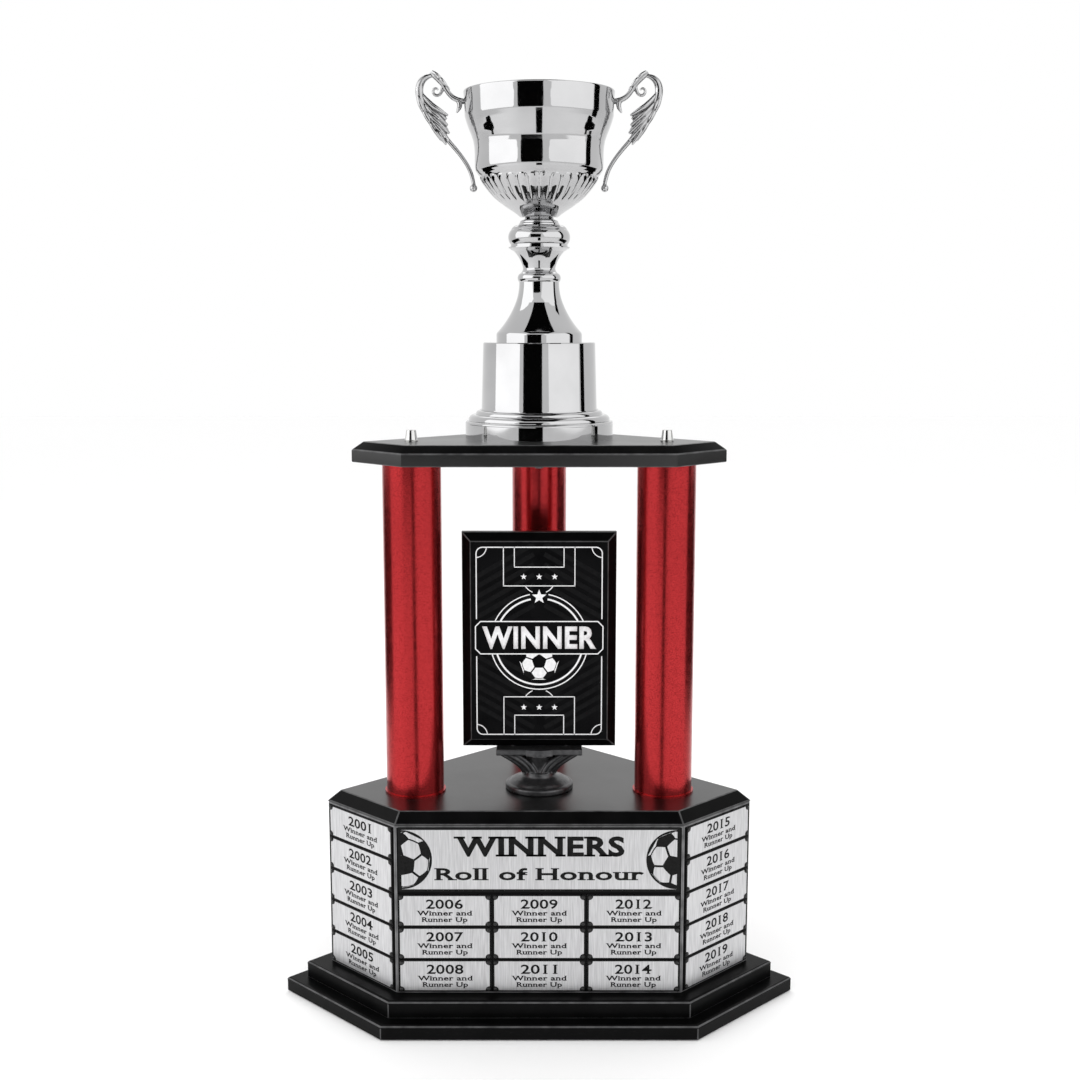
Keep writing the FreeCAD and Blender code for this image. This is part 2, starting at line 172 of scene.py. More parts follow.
def grainGroup():
    group, start, end = newGroup("grain", [
        ("Place", "NodeSocketVector", None),
        ("Stretch", "NodeSocketVector", (1, 1, 1)),
        ("Scale", "NodeSocketFloat", 100.0),
        ("Low", "NodeSocketFloat", 0.0),
        ("High", "NodeSocketFloat", 1.0),
    ], [("Amount", "NodeSocketFloat")])
    stretch = group.nodes.new("ShaderNodeVectorMath")
    stretch.operation = "MULTIPLY"
    noise = group.nodes.new("ShaderNodeTexNoise")
    noise.inputs["Detail"].default_value = 4.0
    levels = group.nodes.new("ShaderNodeMapRange")
    levels.inputs["From Min"].default_value = 0.3
    levels.inputs["From Max"].default_value = 0.7
    join = group.links.new
    join(start.outputs["Place"], stretch.inputs[0])
    join(start.outputs["Stretch"], stretch.inputs[1])
    join(stretch.outputs[0], noise.inputs["Vector"])
    join(start.outputs["Scale"], noise.inputs["Scale"])
    join(noise.outputs["Fac"], levels.inputs["Value"])
    join(start.outputs["Low"], levels.inputs["To Min"])
    join(start.outputs["High"], levels.inputs["To Max"])
    join(levels.outputs["Result"], end.inputs["Amount"])
    return group


def speckGroup():
    group, start, end = newGroup("speck", [
        ("Place", "NodeSocketVector", None),
        ("Scale", "NodeSocketFloat", 600.0),
        ("Spread", "NodeSocketFloat", 0.5),
    ], [("Amount", "NodeSocketFloat")])
    cells = group.nodes.new("ShaderNodeTexVoronoi")
    cells.feature = "F1"
    levels = group.nodes.new("ShaderNodeMapRange")
    levels.inputs["To Min"].default_value = 1.0
    levels.inputs["To Max"].default_value = 0.0
    join = group.links.new
    join(start.outputs["Place"], cells.inputs["Vector"])
    join(start.outputs["Scale"], cells.inputs["Scale"])
    join(cells.outputs["Distance"], levels.inputs["Value"])
    join(start.outputs["Spread"], levels.inputs["From Max"])
    join(levels.outputs["Result"], end.inputs["Amount"])
    return group


sharedGrain = grainGroup()
sharedSpeck = speckGroup()


class Finish:  # one material while it is being wired
    def __init__(self, name, base):
        self.material = bpy.data.materials.new(name)
        self.material.use_nodes = True
        self.tree = self.material.node_tree
        self.shader = self.tree.nodes["Principled BSDF"]
        self.place = self.tree.nodes.new("ShaderNodeTexCoord").outputs["Object"]
        for label, value in base.items():
            self.shader.inputs[label].default_value = value

    def sharedGroup(self, group, values):
        node = self.tree.nodes.new("ShaderNodeGroup")
        node.node_tree = group
        self.tree.links.new(self.place, node.inputs["Place"])
        for label, value in values.items():
            node.inputs[label].default_value = value
        return node.outputs["Amount"]

    def grain(self, scale, low=0.0, high=1.0, stretch=(1, 1, 1)):
        values = {"Stretch": stretch, "Scale": scale, "Low": low, "High": high}
        return self.sharedGroup(sharedGrain, values)

    def speck(self, scale, spread):
        return self.sharedGroup(sharedSpeck, {"Scale": scale, "Spread": spread})

    # a pointiness mask, low in creases; through a colour it paints shade into them
    def paintedCreviceShade(self, low, high):
        node = self.tree.nodes.new("ShaderNodeNewGeometry")
        levels = self.tree.nodes.new("ShaderNodeMapRange")
        levels.inputs["From Min"].default_value = low
        levels.inputs["From Max"].default_value = high
        self.tree.links.new(node.outputs["Pointiness"], levels.inputs["Value"])
        return levels.outputs["Result"]

    def pattern(self, kind, *numbers):
        return {"grain": self.grain, "speck": self.speck, "paintedCreviceShade": self.paintedCreviceShade}[kind](*numbers)

    def colour(self, pattern, dark, light):
        mix = self.tree.nodes.new("ShaderNodeMix")
        mix.data_type = "RGBA"
        mix.inputs["A"].default_value = (*dark, 1)
        mix.inputs["B"].default_value = (*light, 1)
        self.tree.links.new(self.pattern(*pattern), mix.inputs["Factor"])
        self.tree.links.new(mix.outputs["Result"], self.shader.inputs["Base Color"])

    def rough(self, pattern):
        self.tree.links.new(self.pattern(*pattern), self.shader.inputs["Roughness"])

    def bump(self, pattern, strength, distance):
        node = self.tree.nodes.new("ShaderNodeBump")
        node.inputs["Strength"].default_value = strength
        node.inputs["Distance"].default_value = distance
        self.tree.links.new(self.pattern(*pattern), node.inputs["Height"])
        self.tree.links.new(node.outputs["Normal"], self.shader.inputs["Normal"])


finishes = {
    # base holds plain shader values; colour is a pattern between a dark and a light colour
    # rough is a pattern; bump is a pattern, a strength and a distance in metres
    # grain is (scale, low, high, stretch), speck is (scale, spread), crevice is (low, high), a pointiness
    # mask that paints shade into creases
    "laminate": {
        "name": "blackLaminate", "base": {"Specular IOR Level": 0.07},
        "colour": (("grain", 60), (0.0010, 0.0010, 0.0011), (0.0024, 0.0024, 0.0025)),
        "rough": ("grain", 35, 0.30, 0.40), "bump": (("grain", 900), 0.12, 0.0002)},
    "satin": {
        "name": "satinBoard", "base": {"Specular IOR Level": 0.68},
        "colour": (("grain", 60), (0.0015, 0.0015, 0.0016), (0.0035, 0.0035, 0.0037)),
        "rough": ("grain", 35, 0.28, 0.32), "bump": (("grain", 900), 0.10, 0.0002)},
    # lighter than the black boards: a painted highlight along the eased edges
    "edge": {
        "name": "easedEdge", "base": {},
        "colour": (("grain", 120), (0.020, 0.020, 0.021), (0.075, 0.075, 0.077)),
        "rough": ("grain", 300, 0.32, 0.5)},
    # lighter still: a painted highlight along the eased wall corners
    "corner": {
        "name": "easedCorner", "base": {},
        "colour": (("grain", 120), (0.08, 0.08, 0.082), (0.20, 0.20, 0.205)),
        "rough": ("grain", 300, 0.32, 0.5)},
    "felt": {
        "name": "blackFelt", "base": {"Roughness": 0.95},
        "colour": (("speck", 1400, 0.6), (0.008, 0.008, 0.008), (0.03, 0.03, 0.032)),
        "bump": (("grain", 2500), 0.6, 0.0004)},
    "wood": {
        "name": "rawWood", "base": {"Roughness": 0.7},
        "colour": (("grain", 90, 0, 1, (1, 1, 0.08)), (0.35, 0.22, 0.11), (0.58, 0.42, 0.25)),
        "bump": (("grain", 240, 0, 1, (1, 1, 0.05)), 0.3, 0.0003)},
    "silver": {
        "name": "brushedSilver", "base": {"Metallic": 0.85},
        "colour": (("grain", 1900, 0, 1, (1, 1, 0.035)), (0.50, 0.50, 0.51), (0.70, 0.70, 0.71)),
        "rough": ("grain", 500, 0.34, 0.5, (1, 1, 0.05)),
        "bump": (("grain", 1400, 0, 1, (1, 1, 0.03)), 0.10, 0.0001)},
    "plateBlack": {
        "name": "printedBlack", "base": {"Specular IOR Level": 0.12},
        "colour": (("grain", 300), (0.004, 0.004, 0.004), (0.008, 0.008, 0.008)),
        "rough": ("grain", 120, 0.24, 0.36)},
    "ink": {
        "name": "blackInk", "base": {"Specular IOR Level": 0.1},
        "colour": (("grain", 900), (0.004, 0.004, 0.004), (0.010, 0.010, 0.010)),
        "rough": ("grain", 400, 0.38, 0.52)},
    "pin": {
        "name": "blackPin", "base": {},
        "colour": (("grain", 900), (0.006, 0.006, 0.006), (0.016, 0.016, 0.016)),
        "rough": ("grain", 500, 0.25, 0.4)},
    "foil": {
        "name": "redFoil", "base": {"Metallic": 0.9},
        "colour": (("speck", 1500, 0.75), (0.27, 0.014, 0.017), (0.62, 0.043, 0.046)),
        "rough": ("grain", 200, 0.18, 0.27), "bump": (("speck", 900, 0.8), 0.10, 0.0001)},
    "plug": {
        "name": "greyPlastic", "base": {"Roughness": 0.5},
        "colour": (("grain", 200), (0.09, 0.09, 0.09), (0.13, 0.13, 0.13)),
        "bump": (("grain", 900), 0.1, 0.0002)},
    "zinc": {
        "name": "zincSteel", "base": {"Metallic": 1.0},
        "colour": (("grain", 400), (0.09, 0.092, 0.095), (0.16, 0.163, 0.168)),
        "rough": ("grain", 300, 0.28, 0.45)},
    "nickel": {
        "name": "brightNickel", "base": {"Metallic": 1.0},
        "colour": (("grain", 150), (0.50, 0.50, 0.49), (0.60, 0.60, 0.59)),
        "rough": ("grain", 400, 0.08, 0.18)},
    "chrome": {
        "name": "chromePlate", "base": {"Metallic": 1.0},
        "colour": (("grain", 30), (0.43, 0.43, 0.435), (0.48, 0.48, 0.485)),
        "rough": ("grain", 80, 0.03, 0.075)},
    "cast": {
        "name": "castSilver", "base": {"Metallic": 1.0},
        # darker in creases by pointiness: painted shade
        "colour": (("paintedCreviceShade", 0.46, 0.54), (0.09, 0.09, 0.093), (0.60, 0.60, 0.605)),
        "rough": ("grain", 500, 0.12, 0.24), "bump": (("grain", 1500), 0.12, 0.0001)},
    "iron": {
        "name": "castIron", "base": {"Metallic": 0.6, "Roughness": 0.65},
        "colour": (("grain", 300), (0.05, 0.05, 0.05), (0.11, 0.105, 0.10)),
        "bump": (("grain", 700), 0.4, 0.0004)},
    "face": {
        "name": "printedFace", "base": {"Specular IOR Level": 0.04},
        "colour": (("grain", 60), (0.0022, 0.0022, 0.0025), (0.0045, 0.0045, 0.005)),
        "rough": ("grain", 150, 0.24, 0.34)},
    "gunmetal": {
        "name": "gunmetal", "base": {"Metallic": 0.85},
        "colour": (("grain", 300), (0.055, 0.055, 0.057), (0.095, 0.095, 0.098)),
        "rough": ("grain", 350, 0.30, 0.38), "bump": (("grain", 1500), 0.05, 0.0001)},
    "white": {
        "name": "whitePrint", "base": {},
        "colour": (("grain", 500), (0.72, 0.72, 0.73), (0.86, 0.86, 0.87)),
        "rough": ("grain", 300, 0.34, 0.46)},
    "shade": {
        "name": "greyPrint", "base": {"Roughness": 0.4, "Specular IOR Level": 0.04},
        "colour": (("grain", 400), (0.0055, 0.0055, 0.006), (0.0085, 0.0085, 0.009))},
}


def buildMaterial(values):
    finish = Finish(values["name"], values["base"])
    finish.colour(*values["colour"])
    if "rough" in values:
        finish.rough(values["rough"])
    if "bump" in values:
        finish.bump(*values["bump"])
    return finish.material


materials = {name: buildMaterial(values) for name, values in finishes.items()}

slotFinish = {  # the CAD's slots
    "felt": "felt", "black_board": "laminate", "raw_wood": "wood", "plate_silver": "plateBlack",
    "pin_black": "pin", "red_foil": "foil", "plug_plastic": "plug", "zinc_steel": "zinc",
    "bright_nickel": "nickel", "cup_silver": "chrome", "handle_silver": "cast", "weight_iron": "iron",
    "face_black": "face", "stand_grey": "gunmetal",
}

for node in cadNodes.values():
    for place in node.material_slots:
        place.material = materials[slotFinish[place.material.name.split(".")[0]]]
print("materials set")

# helpers for pieces


def finishPiece(name, mesh, material, slotName, *replaced, smooth=None, others=()):
    data = meshData(mesh, name)
    for finish in (material, *others):
        data.materials.append(materials[finish])
    if smooth is not None:
        for face in data.polygons:
            face.use_smooth = True
        data.set_sharp_from_angle(angle=math.radians(smooth))
    piece = bpy.data.objects.new(name, data)
    scene.collection.objects.link(piece)
    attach(piece, "root")
    if replaced:
        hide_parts(*replaced)
    return piece


def bakedMesh(holder):
    # the mesh that a curve, a word or a set of modifiers gives; the holder goes again
    scene.collection.objects.link(holder)
    graph = bpy.context.evaluated_depsgraph_get()
    made = bpy.data.meshes.new_from_object(holder.evaluated_get(graph))
    bpy.data.objects.remove(holder)
    return made


def allOf(mesh):
    return mesh.verts[:] + mesh.edges[:] + mesh.faces[:]


def cornersIn(parts):
    return [part for part in parts if isinstance(part, bmesh.types.BMVert)]


def middleOf(name):
    low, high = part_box(name)
    return (low + high) / 2


easing = {
    "weld": 0.002,  # mm
    "flat": 1,  # faces within these degrees are one face
    "sharp": 20,  # edges from these degrees on are eased
    "smooth": 28,
    "slope": (0.3, 0.72),  # how far a bevel, or the middle of a rounding, faces up
    "segments": 3,
}


def softenedCopy(name, width, shortest, material, highlightFinish, slopeFinish):
    # the CAD solid again, with its long sharp edges eased so that they catch the light; the eased faces
    # also take a lighter colour, a painted highlight
    mesh = bmesh.new()
    mesh.from_mesh(cadNodes[name].data)
    bmesh.ops.remove_doubles(mesh, verts=mesh.verts, dist=easing["weld"] * mm)
    bmesh.ops.dissolve_limit(mesh, angle_limit=math.radians(easing["flat"]), verts=mesh.verts,
                             edges=mesh.edges)
    low, high = easing["slope"]
    # faces sloping up take the slope finish; on the plinths that is the lighter edge colour, a painted
    # highlight
    for face in mesh.faces:
        face.material_index = 2 if low < face.normal.z < high else 0
    long = [edge for edge in mesh.edges if len(edge.link_faces) == 2 and edge.calc_length() > shortest
            and edge.calc_face_angle() > math.radians(easing["sharp"])]
    eased = bmesh.ops.bevel(mesh, geom=long, offset=width, segments=easing["segments"], profile=0.5,
                            affect="EDGES", material=-1)
    # the eased faces take the highlight finish, a lighter colour that paints a highlight
    for face in eased["faces"]:
        face.material_index = 1
    piece = finishPiece(name + "_eased", mesh, material, "black_board", name, smooth=easing["smooth"],
                        others=(highlightFinish, slopeFinish))
    piece.modifiers.new("flatFaces", "WEIGHTED_NORMAL").keep_sharp = True


easedBoards = {
    # easing and shortest eased edge in mm, then the finish of the faces, the eased edges (a lighter colour,
    # painted highlight) and the bevels (on the plinths also the lighter colour, painted highlight)
    "base_top": (0.7, 10, "satin", "edge", "laminate"),
    "top_board": (0.7, 10, "satin", "edge", "laminate"),
    "plaque_board": (0.6, 8, "laminate", "edge", "laminate"),
    "front_panel": (1.2, 100, "laminate", "corner", "laminate"),
    "left_side_panel": (1.2, 70, "laminate", "corner", "laminate"),
    "right_side_panel": (1.2, 70, "laminate", "corner", "laminate"),
    "left_back_panel": (0.8, 70, "laminate", "edge", "laminate"),
    "right_back_panel": (0.8, 70, "laminate", "edge", "laminate"),
    "lower_plinth": (0.5, 7, "laminate", "edge", "edge"),
    "upper_plinth": (0.5, 7, "laminate", "edge", "edge"),
}
for name, (width, shortest, *looks) in easedBoards.items():
    softenedCopy(name, width * mm, shortest * mm, *looks)
print("boards eased")

# fluted bowl

cupAxis = middleOf("cup_foot")
cupAxis.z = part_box("top_board")[1].z

bowlValues = {
    # radius and height above the board in mm, from the boss up the outside and down the inside
    "outside": [(10.6, 161.0), (13.8, 161.2), (16.2, 163.2), (19.4, 165.4), (24.2, 168.4), (28.8, 171.9),
                (33.4, 176.2), (37.3, 180.6), (40.6, 184.9), (43.1, 188.7), (44.9, 192.0), (46.2, 193.9),
                (46.7, 195.6), (46.9, 197.8), (46.9, 202.0), (46.9, 206.0), (47.15, 210.6), (47.9, 215.0),
                (49.2, 219.0), (51.1, 223.6), (52.7, 228.0), (54.0, 232.4), (54.25, 238.0), (54.4, 244.0),
                (54.8, 248.6), (54.9, 249.5), (54.6, 250.0)],
    "inside": [(53.8, 250.0), (53.4, 249.4), (53.1, 244.0), (52.9, 238.0), (52.5, 232.4), (51.2, 228.2),
               (49.6, 223.9), (47.8, 219.5), (46.5, 215.2), (45.7, 210.6), (45.4, 206.0), (45.4, 197.8),
               (44.8, 194.6), (43.4, 191.8), (39.6, 185.8), (36.0, 181.4), (31.6, 176.6), (26.6, 172.2),
               (18.6, 167.2), (14.0, 164.4), (3.3, 164.2), (3.3, 161.0)],
    "steps": 384,
    "longestRun": 0.9,  # between two points of the outside
    "innerWall": 0.6,  # points this far inside the outline belong to the inner wall
    "flutes": 32,
    "fluteTop": 189.6,
    "fluteBottom": 170.6,
    "margin": (1, 3),  # below and above the flutes
    "widthAt": 42.0,  # radius where a flute's width is measured
    "fluteDepth": 1.15,
    "creaseDepth": 0.5,
    "creaseTop": 0.62,  # in flute widths
    "fade": 4.0,  # height over which a flute runs out at its foot
    "smooth": 40,
}


def spinProfile(mesh, profile, steps):
    points = [mesh.verts.new((radius * mm, 0, height * mm)) for radius, height in profile]
    runs = [mesh.edges.new(pair) for pair in zip(points, points[1:] + points[:1])]
    bmesh.ops.spin(mesh, geom=points + runs, axis=(0, 0, 1), cent=(0, 0, 0), angle=fullTurn,
                   steps=steps, use_merge=True)
    bmesh.ops.remove_doubles(mesh, verts=mesh.verts, dist=0.001 * mm)
    bmesh.ops.recalc_face_normals(mesh, faces=mesh.faces)


def thickened(profile, longest):
    # more points along the long runs, so the flutes have something to push
    made = [profile[0]]
    for before, after in zip(profile, profile[1:]):
        parts = max(1, round(math.dist(before, after) / longest))
        for part in range(1, parts + 1):
            share = part / parts
            made.append(tuple(a + (b - a) * share for a, b in zip(before, after)))
    return made


def fluteHeight(turn, height):
    values = bowlValues
    across = (turn * values["flutes"] / fullTurn) % 1.0 - 0.5
    # a flute's round top is measured in its own widths
    width = fullTurn * values["widthAt"] / values["flutes"]
    over = max(0.0, (height - (values["fluteTop"] - width / 2)) / width)
    inside = 0.25 - across * across - over * over
    if inside <= 0:
        return -values["creaseDepth"] if over < values["creaseTop"] else 0.0
    fade = min(1.0, max(0.0, (height - values["fluteBottom"]) / values["fade"]))
    return (2 * math.sqrt(inside) * values["fluteDepth"] - values["creaseDepth"]) * fade


def buildBowl():
    values = bowlValues
    mesh = bmesh.new()
    outside = thickened(values["outside"], values["longestRun"])
    spinProfile(mesh, outside + values["inside"], values["steps"])
    below, above = values["margin"]
    for point in mesh.verts:
        height = point.co.z / mm
        if not values["fluteBottom"] - below < height < values["fluteTop"] + above:
            continue
        radius = math.hypot(point.co.x, point.co.y)
        outer = min(outside, key=lambda place: abs(place[1] - height))[0]
        if radius / mm < outer - values["innerWall"]:
            continue
        push = fluteHeight(math.atan2(point.co.y, point.co.x), height) * mm
        point.co.x += point.co.x / radius * push
        point.co.y += point.co.y / radius * push
    bmesh.ops.translate(mesh, vec=cupAxis, verts=mesh.verts)
    finishPiece("cup_bowl_fluted", mesh, "chrome", "cup_silver", "cup_bowl", smooth=values["smooth"])


buildBowl()
print("bowl fluted")

# cast handles

handleValues = {
    # limbs as (distance from the cup's axis, height above the board, half width) in mm
    "limbs": [
        # arm from the rim up to the top leaf
        [(52.6, 243.4, 1.4), (56.0, 244.0, 1.8), (59.4, 244.4, 2.1), (63.0, 246.4, 2.0), (66.4, 250.2, 1.9),
         (68.8, 254.8, 2.1), (72.6, 259.0, 2.4), (76.4, 261.8, 2.0), (78.4, 263.8, 0.8)],
        # hanging claw
        [(59.2, 244.6, 1.6), (57.4, 242.2, 2.0), (57.6, 239.4, 1.8), (58.8, 237.0, 1.3),
         (59.8, 235.2, 0.6)],
        # outer sweep down into the wing
        [(77.0, 261.4, 1.2), (80.6, 260.8, 2.0), (84.4, 258.2, 2.6), (86.4, 254.2, 2.9), (86.8, 249.4, 3.0),
         (85.8, 244.6, 2.9), (83.8, 239.4, 2.9), (81.0, 234.4, 2.8), (77.9, 229.6, 2.6), (74.6, 224.4, 2.3),
         (71.4, 219.4, 1.8), (69.0, 214.6, 0.7)],
        # lower arm down to the ball
        [(74.6, 228.0, 1.3), (70.6, 221.6, 1.6), (66.2, 215.8, 1.7), (60.8, 209.8, 1.6), (55.6, 203.4, 1.5),
         (51.4, 196.8, 1.5), (48.7, 190.0, 1.6), (47.7, 184.4, 1.4)],
        # curl
        [(69.4, 256.2, 1.4), (69.8, 252.4, 1.3), (71.2, 248.4, 1.2), (74.4, 247.0, 1.2), (76.8, 249.2, 1.1),
         (76.4, 252.0, 1.0), (74.2, 252.8, 0.9), (72.9, 251.2, 0.7)],
        # bud under the top leaf
        [(69.8, 253.2, 1.2), (66.4, 254.2, 1.3), (64.6, 251.8, 0.5)],
    ],
    # feathers of the wing: half width, then the run from root to tip
    "feathers": [
        (2.1, [(84.8, 248.4), (79.0, 241.4), (72.0, 237.0), (66.2, 233.4)]),
        (2.3, [(84.8, 243.8), (78.6, 236.6), (71.8, 231.0), (66.4, 226.4)]),
        (2.3, [(83.8, 239.6), (77.6, 232.0), (70.6, 226.0), (65.2, 220.8)]),
        (2.2, [(82.0, 235.4), (76.2, 227.8), (70.2, 221.4), (65.4, 216.0)]),
        (1.9, [(79.4, 230.6), (74.8, 223.8), (70.6, 217.8), (67.6, 212.8)]),
        (1.9, [(88.2, 250.4), (87.0, 243.6), (84.4, 237.2), (81.0, 231.6)]),
        (1.9, [(86.2, 243.0), (83.2, 235.4), (79.4, 229.0), (76.0, 223.6)]),
        (1.8, [(82.4, 234.8), (78.4, 227.6), (74.4, 221.2), (71.0, 215.6)]),
        (1.5, [(72.4, 260.6), (70.8, 258.8), (68.4, 256.2), (66.2, 253.4)]),
        (1.5, [(77.4, 264.2), (75.0, 262.8), (71.8, 260.2), (69.4, 257.4)]),
    ],
    # thin metal between the feathers, drawn as the limbs are
    "web": [
        [(84.6, 246.0, 1.6), (80.6, 238.6, 3.0), (76.0, 231.6, 3.8), (71.8, 225.0, 3.2),
         (68.6, 218.6, 1.8)],
        [(82.6, 243.0, 1.4), (76.8, 237.6, 2.6), (71.4, 233.6, 2.4), (67.4, 230.4, 1.4)],
        [(79.6, 236.4, 2.0), (73.4, 229.8, 2.8), (69.6, 226.0, 2.2), (66.4, 222.6, 1.2)],
        [(77.6, 231.4, 1.8), (72.8, 224.8, 2.6), (69.4, 220.4, 2.0), (66.8, 217.4, 1.2)],
    ],
    "featherWidths": (0.7, 1.0, 0.9, 0.4),  # root to tip, as shares of the half width
    "featherLifts": (0.5, 1.6, 1.9, 1.2),  # root to tip, out of the handle's own plane
    "ball": (47.9, 181.9, 2.8),  # distance from the cup's axis, height, radius
    "voxel": 0.36,
    "smooth": 80,
}
softenRounds = 2  # smoothing of every casting


def limbMesh(limb):
    # one limb as a smooth rod: points are (across, back, height, half width) in mm
    data = bpy.data.curves.new("limb", "CURVE")
    data.dimensions = "3D"
    data.bevel_depth = mm
    data.bevel_resolution = 4
    data.use_fill_caps = True
    spline = data.splines.new("NURBS")
    spline.points.add(len(limb) - 1)
    for point, (across, back, height, half) in zip(spline.points, limb):
        point.co = (across * mm, back * mm, height * mm, 1)
        point.radius = half
    spline.order_u = 3
    spline.use_endpoint_u = True
    spline.resolution_u = 8
    return bakedMesh(bpy.data.objects.new("limb", data))


def fusedMesh(sources, voxel):
    # every source mesh melted into one casting
    mesh = bmesh.new()
    for source in sources:
        mesh.from_mesh(source)
    holder = bpy.data.objects.new("casting", meshData(mesh, "casting"))
    remesh = holder.modifiers.new("remesh", "REMESH")
    remesh.mode = "VOXEL"
    remesh.voxel_size = voxel * mm
    soften = holder.modifiers.new("soften", "SMOOTH")
    soften.factor = 0.5
    soften.iterations = softenRounds
    return bakedMesh(holder)


def handleCasting():
    values = handleValues
    sources = []
    for limb in values["limbs"]:
        sources.append(limbMesh([(away, 0, height, half) for away, height, half in limb]))
    for half, run in values["feathers"]:
        for side in (-1, 1):
            sources.append(limbMesh([
                (away, side * lift, height, half * share) for (away, height), share, lift
                in zip(run, values["featherWidths"], values["featherLifts"])]))
    for web in values["web"]:
        sources.append(limbMesh([(away, 0, height, half) for away, height, half in web]))
    away, height, radius = values["ball"]
    ball = bmesh.new()
    bmesh.ops.create_uvsphere(ball, u_segments=24, v_segments=16, radius=radius * mm)
    bmesh.ops.translate(ball, vec=(away * mm, 0, height * mm), verts=ball.verts)
    sources.append(meshData(ball, "ball"))
    return fusedMesh(sources, values["voxel"])


def buildHandles():
    casting = handleCasting()
    for side, name in ((-1, "left"), (1, "right")):
        mesh = bmesh.new()
        mesh.from_mesh(casting)
        if side < 0:
            bmesh.ops.scale(mesh, vec=(-1, 1, 1), verts=mesh.verts)
            bmesh.ops.reverse_faces(mesh, faces=mesh.faces)
        bmesh.ops.translate(mesh, vec=cupAxis, verts=mesh.verts)
        finishPiece(name + "_handle_cast", mesh, "cast", "handle_silver", name + "_handle",
                    smooth=handleValues["smooth"])
        print(name, "handle cast")


buildHandles()

# plaque stand

standValues = {
    # radius and height of the turned foot
    "foot": [(0.05, 0.0), (25.0, 0.0), (25.4, 0.5), (25.4, 3.3), (24.9, 4.2), (24.0, 4.6), (22.6, 4.7),
             (22.2, 5.1), (20.6, 6.6), (18.2, 7.8), (15.6, 8.5), (13.2, 9.6), (12.2, 11.2), (12.0, 13.0),
             (0.05, 13.0)],
    "footSteps": 96,
    # ribs as (across, towards the back, height, half width), drawn for the right-hand front
    "ribs": [
        [(2.0, -8.6, 10.6, 1.5), (3.4, -8.8, 14.6, 1.6), (6.6, -8.6, 19.4, 1.7), (12.0, -8.2, 24.2, 1.7),
         (17.4, -8.2, 27.6, 1.4)],
        [(5.4, -7.4, 10.4, 1.6), (6.6, -7.8, 14.2, 1.7), (10.0, -8.0, 18.8, 1.8), (16.2, -8.0, 23.6, 1.8),
         (23.2, -8.0, 27.4, 1.5)],
        [(8.6, -4.8, 10.2, 1.6), (9.8, -5.6, 13.8, 1.8), (13.4, -6.6, 18.0, 1.9), (20.4, -7.0, 23.2, 1.8),
         (28.0, -7.2, 27.2, 1.4)],
        [(10.4, 0.0, 10.2, 1.8), (11.6, 0.0, 13.8, 2.4), (15.4, 0.0, 18.2, 2.6), (22.0, 0.0, 23.6, 2.4),
         (28.4, 0.0, 27.0, 1.6)],
    ],
    # the solid middle, drawn as the ribs are
    "core": [(0, 0, 9.0, 9.0), (0, 0, 12.0, 8.8), (0, 0, 16.0, 8.6), (0, 0, 20.0, 9.4),
             (0, 0, 26.0, 11.0)],
    "plate": (64.0, 24.0, 4.6),  # width, depth, thickness
    "plateEasing": 0.7,
    "bulge": (30.0, 15.4, 10.0),  # radius, distance behind the axis, half width of the bulge
    "bulgeSteps": 12,
    "bulgeInset": 1.0,  # how far its back edge lies inside the plate
    "bulgeDrop": 0.1,  # how far its top lies below the plate's
    "voxel": 0.5,
    "smooth": 40,
}


def standPlate(top):
    # the plate that the plaque stands on, with a bulge towards the front
    values = standValues
    width, depth, thick = (size * mm for size in values["plate"])
    plate = bmesh.new()
    bmesh.ops.create_cube(plate, size=1)
    bmesh.ops.scale(plate, vec=(width, depth, thick), verts=plate.verts)
    bmesh.ops.bevel(plate, geom=plate.edges, offset=values["plateEasing"] * mm, segments=3, profile=0.5,
                    affect="EDGES", material=-1)
    bmesh.ops.translate(plate, vec=(0, 0, top - thick / 2), verts=plate.verts)
    radius, behind, half = values["bulge"]
    steps = values["bulgeSteps"]
    turns = [half / radius * (2 * step / steps - 1) for step in range(steps + 1)]
    rim = [plate.verts.new((math.sin(turn) * radius * mm, (behind - math.cos(turn) * radius) * mm, 0))
           for turn in turns]
    back = values["bulgeInset"] * mm - depth / 2
    chord = [plate.verts.new((side * half * mm, back, 0)) for side in (1, -1)]
    bulge = plate.faces.new(rim + chord)
    bmesh.ops.translate(plate, vec=(0, 0, top - thick), verts=bulge.verts)
    raised = bmesh.ops.extrude_face_region(plate, geom=[bulge], use_keep_orig=True)["geom"]
    bmesh.ops.translate(plate, vec=(0, 0, thick - values["bulgeDrop"] * mm), verts=cornersIn(raised))
    bmesh.ops.recalc_face_normals(plate, faces=plate.faces)
    return meshData(plate, "plate")


def buildStand():
    values = standValues
    sources = []
    for limb in values["ribs"]:
        for across in (-1, 1):
            for back in (-1, 1):
                sources.append(limbMesh([(x * across, y * back, z, half) for x, y, z, half in limb]))
    sources.append(limbMesh(values["core"]))
    foot = bmesh.new()
    spinProfile(foot, values["foot"], values["footSteps"])
    sources.append(meshData(foot, "foot"))
    place = middleOf("plaque_stand")
    place.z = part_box("base_top")[1].z
    mesh = bmesh.new()
    mesh.from_mesh(fusedMesh(sources, values["voxel"]))
    mesh.from_mesh(standPlate(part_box("plaque_board")[0].z - place.z))
    bmesh.ops.translate(mesh, vec=place, verts=mesh.verts)
    finishPiece("plaque_stand_cast", mesh, "gunmetal", "stand_grey", "plaque_stand",
                smooth=values["smooth"])


buildStand()
print("stand cast")

# flat work: fields, lettering, line art

